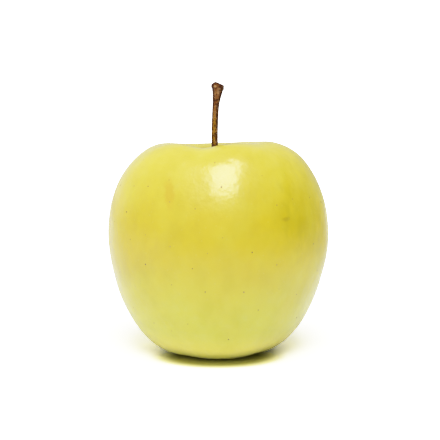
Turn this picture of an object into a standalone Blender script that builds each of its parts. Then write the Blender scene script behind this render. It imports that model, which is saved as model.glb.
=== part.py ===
"""A whole yellow apple: the fruit, its woody stem and the dried calyx underneath.

The fruit is a turned outline whose height and radius then swell and sink with the angle, as the
five chambers of the core push the flesh out. It stands on the five bumps round its base, each worn
to a small flat spot. Sizes below are in millimetres; the model is in metres with +Z up. The origin
is on the table under the middle of the fruit's box, and -Y is the side that faces the viewer.
"""

import math
from collections import namedtuple

import bmesh
import bpy
from mathutils import Matrix, Vector
from mathutils.geometry import interpolate_bezier

MM = 0.001
GAP = 0.3
WELD = 0.00001

# The fruit's outline
HALF_WIDTH = 37.7
HEIGHT = 72.3
WIDEST_AT = 41.0
RIM_RADIUS = 17.0
CAVITY_DEPTH = 15.0
CAVITY_WALL = (5.6, 7.2)
BASE_RADIUS = 14.2
BASIN_DEPTH = 8.5
BASIN_WALL = (7.4, 4.9)

# The five bumps round the base, and the valleys between them
LOBES = 5
LOBE_AT = math.radians(-80.0)
VALLEY_HEIGHT = 0.9
VALLEY_PINCH = 0.65
VALLEY_SHARPNESS = 1.8
VALLEY_UNEVEN = 0.95
VALLEY_DEEPEST_AT = math.radians(95.0)
VALLEYS_END_AT = 22.0
FLAT_SPOT_DEPTH = 0.3

# The rim round the stem's cavity
DIP = 1.3
DIP_AT = math.radians(-104.0)
DIP_SHARPNESS = 1.3
DIP_GATHERING = 3.0
RIM_FRONT_UP = 0.75
RIM_BACK_DOWN = 1.0
RIM_RIGHT_UP = 0.2
RIM_STARTS_AT = 52.0

# How the whole fruit departs from a round one
RIB = 0.006
OVAL = 0.006
OVAL_AT = math.radians(17.0)
CAVITY_SHIFT = -1.1
SHIFT_HEIGHTS = (45.0, 57.0)
SHIFT_RADII = (10.0, 30.0)

# The stem
STEM_RADIUS = 1.08
KNOB_RADIUS = 1.95
STEM_TOP = 92.2
STEM_ROOT = 3.0
KNOB_FROM = 90.4
KNOB_OVER = 1.6
KNOB_SLOPE = 0.45
KNOB_BREADTH = 1.12

# The calyx
CALYX_RADIUS = 3.2
CALYX_TAPER = 0.8
CALYX_ROOT = 2.0
CALYX_LIP = 0.8
EYE_RADIUS = 1.5
EYE_BELOW = 0.9
SEPAL_ROOT = (2.5, 0.0)
SEPAL_OVER = (1.5, -1.9)
SEPAL_CLOSE = (0.5, -3.4)
SEPAL_TIP = (3.3, -4.7)
SEPAL_WIDTH = 2.7
SEPAL_TIP_WIDTH = 0.35
SEPAL_CUP = 0.5
SEPAL_THICKNESS = 0.55
SEPAL_TURN = math.radians(7.0)
SEPAL_TILT = math.radians(5.0)

# How finely the meshes are divided
TURNS = 75
OUTLINE_STEP = 3.0

Knot = namedtuple("Knot", "radius height heading back ahead")
Bend = namedtuple("Bend", "x y z radius")


def ease(value):
    """0 below 0, 1 above 1 and a smooth slope between."""
    t = min(1.0, max(0.0, value))
    return t * t * (3.0 - 2.0 * t)


def outline_knots():
    """The outline's knots, from the stem's socket over the rim and down to the calyx's socket.

    A heading is the way the outline runs there, in degrees: 0 is outwards and 90 is up. Back and
    ahead are how far the curve keeps to that heading on each side of the knot.
    """
    cavity_floor = HEIGHT - CAVITY_DEPTH
    wall_radius, wall_height = CAVITY_WALL
    basin_radius, basin_height = BASIN_WALL
    return (
        Knot(STEM_RADIUS + GAP, cavity_floor, 35, 0.0, 2.0),
        Knot(wall_radius, cavity_floor + wall_height, 62, 3.0, 3.6),
        Knot(RIM_RADIUS, HEIGHT, 0, 6.4, 11.5),
        Knot(HALF_WIDTH, WIDEST_AT, -90, 17.6, 16.4),
        Knot(BASE_RADIUS, 0.0, 180, 13.6, 2.8),
        Knot(basin_radius, basin_height, 128, 2.6, 2.4),
        Knot(CALYX_RADIUS + GAP, BASIN_DEPTH, 165, 1.4, 0.0),
    )


def heading(degrees):
    """The unit step along a heading, as radius and height."""
    return Vector((math.cos(math.radians(degrees)), math.sin(math.radians(degrees))))


def outline():
    """The whole outline as (radius, height) pairs, on the axis at both ends."""
    knots = outline_knots()
    points = []
    for a, b in zip(knots, knots[1:]):
        start, end = Vector((a.radius, a.height)), Vector((b.radius, b.height))
        leave = start + a.ahead * heading(a.heading)
        arrive = end - b.back * heading(b.heading)
        count = max(3, round((end - start).length / OUTLINE_STEP * 1.15) + 1)
        points += [tuple(p) for p in interpolate_bezier(start, leave, arrive, end, count)[:-1]]

    socket = knots[0]
    stem_socket = [(0.0, socket.height - STEM_ROOT), (socket.radius, socket.height - STEM_ROOT)]
    mouth = knots[-1]
    calyx_socket = [
        (mouth.radius, mouth.height),
        (mouth.radius, mouth.height + CALYX_ROOT),
        (0.0, mouth.height + CALYX_ROOT),
    ]
    return stem_socket + points + calyx_socket


def shaped(point):
    """A point of the turned outline, in millimetres, moved to where the real fruit has it."""
    x, y, z = point
    radius, angle = math.hypot(x, y), math.atan2(y, x)
    near_rim = ease((z - RIM_STARTS_AT) / (HEIGHT - RIM_STARTS_AT)) * ease(radius / RIM_RADIUS)
    near_base = ease(1.0 - z / VALLEYS_END_AT) * ease(radius / BASE_RADIUS)
    lobe = math.cos(LOBES * (angle - LOBE_AT))

    valley = (0.5 - 0.5 * lobe) ** VALLEY_SHARPNESS
    valley *= 1.0 + VALLEY_UNEVEN * math.cos(angle - VALLEY_DEEPEST_AT)
    z += near_base * VALLEY_HEIGHT * valley

    back = math.sin(angle)
    dip = (0.5 + 0.5 * math.cos(LOBES * (angle - DIP_AT))) ** DIP_SHARPNESS
    dip *= (0.5 + 0.5 * math.cos(angle - DIP_AT)) ** DIP_GATHERING
    z -= near_rim * DIP * dip
    z -= near_rim * (RIM_FRONT_UP * back + RIM_BACK_DOWN * max(0.0, back) ** 2)
    z += near_rim * RIM_RIGHT_UP * math.cos(angle)

    radius *= 1.0 + RIB * lobe + OVAL * math.cos(2.0 * (angle + OVAL_AT))
    radius -= near_base * VALLEY_PINCH * valley
    low, high = SHIFT_HEIGHTS
    inner, outer = SHIFT_RADII
    shift = CAVITY_SHIFT * ease((z - low) / (high - low)) * ease((outer - radius) / (outer - inner))
    return Vector((radius * math.cos(angle) + shift, radius * math.sin(angle), z))


def material(name, colour, roughness):
    """A Principled material with one colour and roughness."""
    made = bpy.data.materials.new(name)
    made.use_nodes = True
    shader = made.node_tree.nodes["Principled BSDF"]
    shader.inputs["Base Color"].default_value = (*colour, 1.0)
    shader.inputs["Roughness"].default_value = roughness
    shader.inputs["Metallic"].default_value = 0.0
    return made


def add(name, mesh, collection, look):
    """A mesh as a named object in the collection, with its material."""
    made = bpy.data.objects.new(name, mesh)
    collection.objects.link(made)
    made.data.materials.clear()
    made.data.materials.append(look)
    return made


def evaluated_mesh(source):
    """The object's mesh with its modifiers applied, in its own space."""
    bpy.context.view_layer.update()
    return bpy.data.meshes.new_from_object(source.evaluated_get(bpy.context.evaluated_depsgraph_get()))


def turned_outline(collection):
    """The outline turned round the axis by a Screw modifier, as a plain mesh."""
    points = outline()
    profile = bpy.data.meshes.new("outline")
    places = [(radius * MM, 0.0, height * MM) for radius, height in points]
    profile.from_pydata(places, [(i, i + 1) for i in range(len(points) - 1)], [])
    turned = bpy.data.objects.new("outline", profile)
    collection.objects.link(turned)
    screw = turned.modifiers.new("turn", "SCREW")
    screw.steps = TURNS
    screw.render_steps = TURNS
    screw.use_merge_vertices = True
    screw.merge_threshold = WELD
    mesh = evaluated_mesh(turned)
    bpy.data.objects.remove(turned)
    return mesh


def make_fruit(collection, look):
    """The fruit, and the shift in metres that brought it onto the table and over the origin."""
    mesh = turned_outline(collection)
    form = bmesh.new()
    form.from_mesh(mesh)
    bmesh.ops.remove_doubles(form, verts=form.verts, dist=WELD)
    for v in form.verts:
        v.co = shaped(v.co / MM) * MM

    xs, ys, zs = zip(*(v.co for v in form.verts))
    table = min(zs) + FLAT_SPOT_DEPTH * MM
    shift = Vector((-(min(xs) + max(xs)) / 2.0, -(min(ys) + max(ys)) / 2.0, -table))
    for v in form.verts:
        v.co += shift
        v.co.z = max(v.co.z, 0.0)
    form.to_mesh(mesh)
    form.free()
    mesh.shade_smooth()
    mesh.set_sharp_from_angle(angle=math.radians(50.0))
    return add("fruit", mesh, collection, look), shift


def stem_path():
    """The bends up the middle of the stem: straight out of the cavity, then leaning to the right."""
    cavity_floor = HEIGHT - CAVITY_DEPTH
    root = cavity_floor - STEM_ROOT + GAP
    return (
        Bend(shaped((0.0, 0.0, root)).x, 0.0, root, STEM_RADIUS),
        Bend(shaped((0.0, 0.0, cavity_floor)).x, 0.0, cavity_floor, STEM_RADIUS),
        Bend(-1.05, 0.1, 66.0, STEM_RADIUS),
        Bend(-1.0, 0.1, 74.0, STEM_RADIUS),
        Bend(-0.95, 0.0, 80.4, STEM_RADIUS),
        Bend(-0.4, -0.2, 86.6, STEM_RADIUS * 1.14),
        Bend(0.05, -0.4, 88.9, STEM_RADIUS * 1.4),
        Bend(0.1, -0.5, 90.8, KNOB_RADIUS),
        Bend(0.1, -0.5, 91.7, KNOB_RADIUS * 0.9),
        Bend(0.1, -0.5, STEM_TOP, KNOB_RADIUS * 0.45),
    )


def make_stem(collection, look):
    """A tube along the stem's path that swells to the knob where it broke off the branch."""
    path = bpy.data.curves.new("stem_path", "CURVE")
    path.dimensions = "3D"
    path.bevel_depth = MM
    path.bevel_resolution = 4
    path.use_fill_caps = True
    path.resolution_u = 3
    spline = path.splines.new("BEZIER")
    bends = stem_path()
    spline.bezier_points.add(len(bends) - 1)
    for knot, bend in zip(spline.bezier_points, bends):
        knot.co = Vector((bend.x, bend.y, bend.z)) * MM
        knot.radius = bend.radius
        knot.handle_left_type = "AUTO"
        knot.handle_right_type = "AUTO"
    tube = bpy.data.objects.new("stem_path", path)
    collection.objects.link(tube)
    mesh = evaluated_mesh(tube)
    bpy.data.objects.remove(tube)

    form = bmesh.new()
    form.from_mesh(mesh)
    bmesh.ops.remove_doubles(form, verts=form.verts, dist=WELD)
    for v in form.verts:
        knob = ease((v.co.z / MM - KNOB_FROM) / KNOB_OVER)
        v.co.z -= knob * KNOB_SLOPE * v.co.x
        v.co.x *= 1.0 + knob * (KNOB_BREADTH - 1.0)
    bmesh.ops.recalc_face_normals(form, faces=form.faces)
    form.to_mesh(mesh)
    form.free()
    mesh.shade_smooth()
    return add("stem", mesh, collection, look)


def sepal_point(across, along):
    """A point of one sepal, in millimetres from the calyx's middle: +X is outwards and -Z is down.

    It leaves the cup's rim, closes over the eye and curls back outwards at its tip.
    """
    start, over, close, tip = (Vector(p) for p in (SEPAL_ROOT, SEPAL_OVER, SEPAL_CLOSE, SEPAL_TIP))
    left, gone = 1.0 - along, along
    out, down = left**3 * start + 3 * left**2 * gone * over + 3 * left * gone**2 * close + gone**3 * tip
    half_width = 0.5 * (SEPAL_WIDTH * left**0.7 + SEPAL_TIP_WIDTH)
    return Vector((out - SEPAL_CUP * across**2 * left, across * half_width, down))


def mesh_of(form, name):
    """The bmesh as a named mesh, with the bmesh freed."""
    mesh = bpy.data.meshes.new(name)
    form.to_mesh(mesh)
    form.free()
    return mesh


def make_plug(pieces, floor):
    """The calyx's short woody cup, which fills its socket and stands a little proud of it."""
    depth = CALYX_ROOT + CALYX_LIP
    form = bmesh.new()
    bmesh.ops.create_cone(
        form, cap_ends=True, segments=20, radius1=CALYX_RADIUS * CALYX_TAPER * MM,
        radius2=CALYX_RADIUS * MM, depth=depth * MM,
    )
    plug = bpy.data.objects.new("plug", mesh_of(form, "plug"))
    plug.location.z = (floor + CALYX_ROOT - GAP - depth / 2.0) * MM
    pieces.objects.link(plug)


def make_sepal(pieces, number, floor):
    """One withered sepal, thickened, over a valley between two of the base's bumps."""
    form = bmesh.new()
    bmesh.ops.create_grid(form, x_segments=3, y_segments=8, size=1.0)
    for v in form.verts:
        v.co = sepal_point(v.co.x, (v.co.y + 1.0) / 2.0) * MM
    sepal = bpy.data.objects.new(f"sepal_{number}", mesh_of(form, "sepal"))
    sepal.location.z = floor * MM
    turn, tilt = SEPAL_TURN * math.sin(2.4 * number), SEPAL_TILT * math.cos(3.7 * number)
    sepal.rotation_euler = (0.0, tilt, LOBE_AT + (number + 0.5) * math.tau / LOBES + turn)
    solid = sepal.modifiers.new("thickness", "SOLIDIFY")
    solid.thickness = SEPAL_THICKNESS * MM
    solid.offset = 0.0
    pieces.objects.link(sepal)


def make_calyx(collection, look, floor):
    """The withered calyx: the plug, its five curled sepals and the eye, joined into one solid."""
    pieces = bpy.data.collections.new("calyx pieces")
    collection.children.link(pieces)
    make_plug(pieces, floor)
    for number in range(LOBES):
        make_sepal(pieces, number, floor)

    form = bmesh.new()
    bmesh.ops.create_uvsphere(form, u_segments=16, v_segments=8, radius=EYE_RADIUS * MM)
    eye = bpy.data.objects.new("eye", mesh_of(form, "eye"))
    eye.location.z = (floor - EYE_BELOW) * MM
    collection.objects.link(eye)
    join = eye.modifiers.new("join", "BOOLEAN")
    join.operation = "UNION"
    join.operand_type = "COLLECTION"
    join.collection = pieces
    join.solver = "EXACT"
    mesh = evaluated_mesh(eye)
    mesh.transform(eye.matrix_world)
    bpy.data.objects.remove(eye)
    for piece in list(pieces.objects):
        bpy.data.objects.remove(piece)
    bpy.data.collections.remove(pieces)
    return add("calyx", mesh, collection, look)


def main():
    for old in list(bpy.data.objects):
        bpy.data.objects.remove(old)
    apple = bpy.data.collections.new("apple")
    bpy.context.scene.collection.children.link(apple)

    skin = material("apple_skin", (0.70, 0.60, 0.08), 0.38)
    bark = material("stem_bark", (0.23, 0.11, 0.035), 0.7)
    husk = material("dried_calyx", (0.16, 0.10, 0.04), 0.85)

    fruit, shift = make_fruit(apple, skin)
    stem = make_stem(apple, bark)
    calyx = make_calyx(apple, husk, BASIN_DEPTH)
    for piece in (stem, calyx):
        piece.data.transform(Matrix.Translation(shift))


main()
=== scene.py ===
# %% [markdown]
# # A whole yellow apple
#
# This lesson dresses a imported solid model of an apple. The solids already have the true size and
# the true form: a fruit, a woody stem and a dried calyx in the hollow underneath. What they lack is
# a surface, so each of them is replaced here by a finer piece on the same sizes. The cells go from
# the outside in: camera, light and table first, then the fruit, its pores, the stem and the calyx.

import math
from collections import namedtuple

import bpy
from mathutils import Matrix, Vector
from mathutils.bvhtree import BVHTree


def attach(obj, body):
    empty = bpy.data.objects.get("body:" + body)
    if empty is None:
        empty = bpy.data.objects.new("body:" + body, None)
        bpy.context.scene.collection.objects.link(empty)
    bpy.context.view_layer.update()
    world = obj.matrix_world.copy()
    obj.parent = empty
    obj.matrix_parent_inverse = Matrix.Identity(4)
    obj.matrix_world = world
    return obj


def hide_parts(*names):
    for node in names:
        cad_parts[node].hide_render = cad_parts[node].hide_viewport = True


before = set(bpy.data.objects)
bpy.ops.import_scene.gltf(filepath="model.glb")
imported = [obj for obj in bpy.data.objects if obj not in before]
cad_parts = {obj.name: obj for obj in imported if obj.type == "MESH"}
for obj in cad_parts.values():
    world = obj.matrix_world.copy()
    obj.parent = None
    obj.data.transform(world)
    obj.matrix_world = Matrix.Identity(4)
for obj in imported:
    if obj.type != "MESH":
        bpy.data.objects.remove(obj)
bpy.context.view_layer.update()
MM = 0.001

# %% [markdown]
# ## The camera
#
# A long lens from a short way off keeps the fruit's outline nearly as flat as a drawing. The camera
# stands a little above the fruit's middle, so that the rim hides the hollow and only the stem
# rises from it. It is placed by an angle and a distance from a point inside the fruit, which is
# easier to adjust than a position in space.

# %% Place the camera
LENS = 105.0
SENSOR = 36.0
CAMERA_ELEVATION = math.radians(8.0)
CAMERA_DISTANCE = 441.0 * MM
AIM = Vector((0.62, 0.15, 45.0)) * MM


def add_object(name, data):
    """A new object in the scene, made of the data."""
    made = bpy.data.objects.new(name, data)
    bpy.context.scene.collection.objects.link(made)
    return made


camera = add_object("camera", bpy.data.cameras.new("camera"))
camera.data.lens = LENS
camera.data.sensor_width = SENSOR
camera.data.clip_start = 0.01
camera.data.clip_end = 50.0
backwards = Vector((0.0, -math.cos(CAMERA_ELEVATION), math.sin(CAMERA_ELEVATION)))
camera.location = AIM + backwards * CAMERA_DISTANCE
camera.rotation_euler = backwards.to_track_quat("Z", "Y").to_euler()
bpy.context.scene.camera = camera
print("camera stands at, mm:", [round(c / MM, 1) for c in camera.location])

# %% [markdown]
# ## Arithmetic for node trees
#
# A rule such as "the rim sinks by this much at that angle" takes a dozen Math nodes. Wired by hand
# they hide the rule, so this small class lets a tree be written as a formula: every sum or product
# of its numbers adds one Math node. The same class serves shapes and materials, because both kinds
# of tree share the Math node.

# %% Numbers that add Math nodes
def wire(tree, value, socket):
    """Link a number or a socket to an input, or set the input where the value is a plain one."""
    if isinstance(value, Number):
        tree.links.new(value.socket, socket)
    elif isinstance(value, bpy.types.NodeSocket):
        tree.links.new(value, socket)
    else:
        socket.default_value = value


def add_node(tree, kind, settings=None, **inputs):
    """A node with its settings, and its inputs by name, where an underscore stands for a space."""
    node = tree.nodes.new(kind)
    for name, value in (settings or {}).items():
        setattr(node, name, value)
    for name, value in inputs.items():
        wire(tree, value, node.inputs[name.replace("_", " ")])
    return node


class Number:
    """A number in a node tree, which takes part in arithmetic."""

    def __init__(self, tree, socket):
        self.tree = tree
        self.socket = socket

    def math(self, operation, *others, first=None):
        node = add_node(self.tree, "ShaderNodeMath", {"operation": operation})
        for value, socket in zip((self if first is None else first, *others), node.inputs):
            wire(self.tree, value, socket)
        return Number(self.tree, node.outputs[0])

    def __add__(self, other):
        return self.math("ADD", other)

    def __sub__(self, other):
        return self.math("SUBTRACT", other)

    def __rsub__(self, other):
        return self.math("SUBTRACT", self, first=other)

    def __mul__(self, other):
        return self.math("MULTIPLY", other)

    def __truediv__(self, other):
        return self.math("DIVIDE", other)

    def __pow__(self, other):
        return self.math("POWER", other)

    __radd__ = __add__
    __rmul__ = __mul__

    def cos(self):
        return self.math("COSINE")

    def sin(self):
        return self.math("SINE")

    def size(self):
        return self.math("ABSOLUTE")

    def above(self, least):
        return self.math("MAXIMUM", least)

    def below(self, most):
        return self.math("MINIMUM", most)

    def ease(self, start=0.0, end=1.0):
        """0 at the start, 1 at the end and a smooth slope between, whichever of them is larger."""
        share = (self - start) / (end - start)
        share.socket.node.use_clamp = True
        return share * share * (3.0 - share * 2.0)

    def near(self, middle, reach):
        """1 in the middle and 0 from that reach away, with a smooth slope between."""
        return (self - middle).size().ease(reach, 0.0)


def parts_of(tree, vector):
    """The three numbers of a vector."""
    split = add_node(tree, "ShaderNodeSeparateXYZ", Vector=vector)
    return [Number(tree, socket) for socket in split.outputs]


def vector_of(tree, x, y, z):
    """A vector made of three numbers."""
    return add_node(tree, "ShaderNodeCombineXYZ", X=x, Y=y, Z=z).outputs[0]


def noise(tree, place, size, detail=2.0, roughness=0.5, seed=0.0):
    """Smooth noise round zero, mostly within 0.3 of it, whose patches have about the given size."""
    made = add_node(
        tree, "ShaderNodeTexNoise", {"noise_dimensions": "4D"},
        Vector=place, W=seed, Scale=1.0 / size, Detail=detail, Roughness=roughness,
    )
    return Number(tree, made.outputs[0]) - 0.5


# %% [markdown]
# ## Running a shape tree
#
# A Geometry Nodes tree gets its sizes through named inputs, so its shape can be changed without a
# look inside. A modifier stores each input under the socket's identifier, which isn't its name, so
# the names are looked up first. The result is taken as a plain mesh, and the carrier goes.

# %% Make a tree with named inputs, and run it
def new_tree(name, sizes):
    """A shape tree with a geometry input and named sizes, its entry node and the sizes' numbers."""
    tree = bpy.data.node_groups.new(name, "GeometryNodeTree")
    tree.interface.new_socket("Geometry", in_out="INPUT", socket_type="NodeSocketGeometry")
    tree.interface.new_socket("Geometry", in_out="OUTPUT", socket_type="NodeSocketGeometry")
    for size, value in sizes.items():
        kind = "NodeSocketInt" if isinstance(value, int) else "NodeSocketFloat"
        tree.interface.new_socket(size, in_out="INPUT", socket_type=kind).default_value = value
    tree.interface.new_socket("Finish", in_out="INPUT", socket_type="NodeSocketMaterial")
    entry = tree.nodes.new("NodeGroupInput")
    return tree, entry, {size: Number(tree, entry.outputs[size]) for size in sizes}


def moved(tree, geometry, place, offset=(0.0, 0.0, 0.0)):
    """The geometry with its points at a place, or at an offset from where they are."""
    move = add_node(tree, "GeometryNodeSetPosition", Geometry=geometry, Offset=offset)
    if place is not None:
        wire(tree, place, move.inputs["Position"])
    return move.outputs[0]


def in_metres(tree, x, y, z):
    """A place in metres from three numbers in millimetres."""
    scaled = add_node(
        tree, "ShaderNodeVectorMath", {"operation": "SCALE"}, Vector=vector_of(tree, x, y, z), Scale=MM
    )
    return scaled.outputs[0]


def points_of(tree):
    """The place of each point of the geometry, as a vector and as three numbers, in millimetres."""
    position = add_node(tree, "GeometryNodeInputPosition").outputs[0]
    scaled = add_node(
        tree, "ShaderNodeVectorMath", {"operation": "SCALE"}, Vector=position, Scale=1.0 / MM
    )
    return scaled.outputs[0], parts_of(tree, scaled.outputs[0])


def pushed(tree, geometry, depth):
    """The geometry with each point moved along its normal by a depth in millimetres."""
    normal = add_node(tree, "GeometryNodeInputNormal").outputs[0]
    push = add_node(
        tree, "ShaderNodeVectorMath", {"operation": "SCALE"}, Vector=normal, Scale=depth * MM
    )
    return moved(tree, geometry, None, push.outputs[0])


def end_tree(tree, entry, geometry):
    """Close the tree as every shape tree here ends: one real mesh, smooth, with its finish."""
    real = add_node(tree, "GeometryNodeRealizeInstances", Geometry=geometry)
    smooth = add_node(tree, "GeometryNodeSetShadeSmooth", Geometry=real.outputs[0])
    finished = add_node(
        tree, "GeometryNodeSetMaterial", Geometry=smooth.outputs[0], Material=entry.outputs["Finish"]
    )
    leave = tree.nodes.new("NodeGroupOutput")
    wire(tree, finished.outputs[0], leave.inputs[0])


def run_tree(name, carrier, tree, finish):
    """The piece that the tree makes on a carrier object, as a plain mesh. The carrier is removed."""
    modifier = carrier.modifiers.new("form", "NODES")
    modifier.node_group = tree
    entries = [item for item in tree.interface.items_tree if item.in_out == "INPUT"]
    sockets = {item.name: item.identifier for item in entries}
    modifier[sockets["Finish"]] = finish
    bpy.context.view_layer.update()
    evaluated = carrier.evaluated_get(bpy.context.evaluated_depsgraph_get())
    mesh = bpy.data.meshes.new_from_object(evaluated)
    mesh.name = name
    bpy.data.objects.remove(carrier)
    piece = add_object(name, mesh)
    triangles = sum(len(polygon.vertices) - 2 for polygon in mesh.polygons)
    print(f"{name}: {len(mesh.vertices)} points, {triangles} triangles")
    return piece


# %% [markdown]
# ## Turning an outline
#
# The fruit and the calyx's cup are turned shapes. An outline drawn as a Bezier curve holds only the
# few points that the shape needs, and a grid is then rolled up round the axis along it: one way of
# the grid runs down the outline, the other runs round.

# %% Draw an outline and roll a grid round it
Knot = namedtuple("Knot", "radius height heading back ahead")
OUTLINE_STEPS = 40


def bezier_curve(name, places, steps, handles=()):
    """A curve object through the places. Where no handles are given, it bends smoothly by itself."""
    curve = bpy.data.curves.new(name, "CURVE")
    curve.dimensions = "3D"
    curve.resolution_u = steps
    spline = curve.splines.new("BEZIER")
    spline.bezier_points.add(len(places) - 1)
    for point, place in zip(spline.bezier_points, places):
        point.co = place
        point.handle_left_type = "AUTO"
        point.handle_right_type = "AUTO"
    for point, (before, after) in zip(spline.bezier_points, handles):
        point.handle_left_type = "FREE"
        point.handle_right_type = "FREE"
        point.handle_left = before
        point.handle_right = after
    return add_object(name, curve)


def heading(degrees):
    """The unit step along a heading, where 0 is outwards and 90 is up."""
    return Vector((math.cos(math.radians(degrees)), 0.0, math.sin(math.radians(degrees))))


def outline_curve(name, knots):
    """A curve object through the knots, in millimetres. Back and ahead are its handles' lengths."""
    places = [Vector((knot.radius, 0.0, knot.height)) for knot in knots]
    handles = [
        (place - knot.back * heading(knot.heading), place + knot.ahead * heading(knot.heading))
        for place, knot in zip(places, knots)
    ]
    return bezier_curve(name, places, OUTLINE_STEPS, handles)


def rolled_grid(tree, turns, rows):
    """A flat grid, with each point's angle round the axis and its share of the way along."""
    grid = add_node(
        tree, "GeometryNodeMeshGrid", Size_X=1.0, Size_Y=1.0, Vertices_X=turns + 1, Vertices_Y=rows
    )
    position = add_node(tree, "GeometryNodeInputPosition").outputs[0]
    across, along, _ = parts_of(tree, position)
    return grid.outputs[0], (across + 0.5) * math.tau, along + 0.5


def along_curve(tree, curve, share):
    """The place on the curve at each share of its length, as three numbers."""
    sample = add_node(tree, "GeometryNodeSampleCurve", {"mode": "FACTOR"}, Curves=curve, Factor=share)
    return parts_of(tree, sample.outputs["Position"])


WELD = 0.01


def welded(tree, geometry):
    """The geometry with its seam and its poles closed."""
    return add_node(
        tree, "GeometryNodeMergeByDistance", Geometry=geometry, Distance=WELD * MM
    ).outputs[0]


# %% [markdown]
# ## The fruit's form
#
# A real apple is a turned form that the five chambers of its core push out of true. It stands on
# five bumps with valleys between them, its rim rises and sinks five times round the stem's hollow,
# and its whole section is a little oval. The sizes below are the solid's own. The outline only has
# to run on to the axis under the stem and under the calyx, where the solid has its two sockets.

# %% The fruit's outline and sizes
HALF_WIDTH = 37.7
HEIGHT = 72.3
WIDEST_AT = 41.0
RIM_RADIUS = 17.0
CAVITY_FLOOR = HEIGHT - 15.0
BASE_RADIUS = 14.2
BASIN_DEPTH = 8.5
STEM_RADIUS = 1.08
CALYX_RADIUS = 3.2
SOCKET_GAP = 0.3

fruit_outline = outline_curve("fruit_outline", (
    Knot(0.0, CAVITY_FLOOR - 0.7, 0, 0.0, 0.5),
    Knot(STEM_RADIUS + SOCKET_GAP, CAVITY_FLOOR, 35, 0.6, 2.0),
    Knot(5.6, CAVITY_FLOOR + 7.2, 62, 3.0, 3.6),
    Knot(RIM_RADIUS, HEIGHT, 0, 6.4, 11.5),
    Knot(HALF_WIDTH, WIDEST_AT, -90, 17.6, 16.4),
    Knot(BASE_RADIUS, 0.0, 180, 13.6, 2.8),
    Knot(7.4, 4.9, 128, 2.6, 2.4),
    Knot(CALYX_RADIUS + SOCKET_GAP, BASIN_DEPTH, 165, 1.4, 1.2),
    Knot(0.0, BASIN_DEPTH + 1.4, 180, 1.5, 0.0),
))

FRUIT_SIZES = {
    "Turns": 340,
    "Rows": 230,
    "Rim radius": RIM_RADIUS,
    "Rim height": HEIGHT,
    "Rim starts at": 52.0,
    "Base radius": BASE_RADIUS,
    "Bump angle": math.radians(-80.0),
    "Valley height": 0.9,
    "Valley pinch": 0.65,
    "Valley sharpness": 1.8,
    "Valley unevenness": 0.95,
    "Deepest valley angle": math.radians(95.0),
    "Valleys end at": 22.0,
    "Dip": 1.3,
    "Dip angle": math.radians(-104.0),
    "Dip sharpness": 1.3,
    "Dip gathering": 3.0,
    "Rim front drop": 0.75,
    "Rim back drop": 1.0,
    "Back drop angle": math.radians(107.0),
    "Rim right rise": 0.2,
    "Rib": 0.006,
    "Oval": 0.006,
    "Oval angle": math.radians(17.0),
    "Cavity shift": -1.1,
    "Unevenness": 0.9,
    "Rim creases": 0.5,
    "Basin pleats": 1.3,
}
SOLID_SHIFT = (-0.1784, 0.1501, -0.3)

# %% [markdown]
# ## The rule that shapes the fruit
#
# The same rule that shaped the solid is written here once more, now on a much finer grid. Only the
# low side of the back rim is turned a little further round, by too little to matter for the solid.
# After the rule come the things that are too fine for a solid: slow dents, creases that run down
# into the stem's hollow, and the pleats where the skin gathers round the calyx. The dents are
# shifted inwards, so that the fruit keeps to the solid's box.

# %% Shape the grid into a fruit
LOBES = 5
SHIFT_HEIGHTS = (45.0, 57.0)
SHIFT_RADII = (30.0, 10.0)
DENT_SIZE = 17.0
DENT_LEVEL = 0.24
CAVITY_WALL = (50.0, 58.0)
CAVITY_RADII = (17.0, 7.0)
STEM_FOOT = (1.2, 3.0)
CREASE_SPREAD = 3.2
CREASE_CHANGE = 0.10
BASIN_WALL = (16.0, 8.0)
BASIN_RADII = (13.0, 5.5)
PLEAT_SPREAD = 3.6
PLEAT_CHANGE = 0.12


def fruit_place(tree, size, radius, angle, height):
    """Where the real fruit has a point of the turned outline, as three numbers."""
    near_rim = height.ease(size["Rim starts at"], size["Rim height"])
    near_rim *= radius.ease(0.0, size["Rim radius"])
    near_base = height.ease(size["Valleys end at"], 0.0) * radius.ease(0.0, size["Base radius"])
    lobe = ((angle - size["Bump angle"]) * LOBES).cos()

    valley = (0.5 - lobe * 0.5) ** size["Valley sharpness"]
    valley *= size["Valley unevenness"] * (angle - size["Deepest valley angle"]).cos() + 1.0
    raised = near_base * size["Valley height"] * valley

    back_low = (angle - size["Back drop angle"]).cos().above(0.0)
    dip = (((angle - size["Dip angle"]) * LOBES).cos() * 0.5 + 0.5) ** size["Dip sharpness"]
    dip *= size["Dip"] * ((angle - size["Dip angle"]).cos() * 0.5 + 0.5) ** size["Dip gathering"]
    lean = size["Rim front drop"] * angle.sin() + size["Rim back drop"] * back_low ** 2.0
    lean -= size["Rim right rise"] * angle.cos()
    height = height + raised - near_rim * (dip + lean)

    oval = size["Oval"] * ((angle + size["Oval angle"]) * 2.0).cos()
    radius = radius * (size["Rib"] * lobe + oval + 1.0) - near_base * size["Valley pinch"] * valley
    shift = size["Cavity shift"] * height.ease(*SHIFT_HEIGHTS) * radius.ease(*SHIFT_RADII)
    return radius * angle.cos() + shift, radius * angle.sin(), height


def round_the_axis(tree, angle, along, spread):
    """A vector for noise that makes lines which run along the outline, as many as the spread gives."""
    return vector_of(tree, angle.cos() * spread, angle.sin() * spread, along)


tree, entry, size = new_tree("fruit form", FRUIT_SIZES)
grid, angle, share = rolled_grid(tree, size["Turns"], size["Rows"])
radius, _, height = along_curve(tree, entry.outputs["Geometry"], share)
x, y, z = fruit_place(tree, size, radius, angle, height)
shift_x, shift_y, shift_z = SOLID_SHIFT
form = moved(tree, grid, in_metres(tree, x + shift_x, y + shift_y, z + shift_z))
form = add_node(tree, "GeometryNodeFlipFaces", Mesh=welded(tree, form)).outputs[0]

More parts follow.
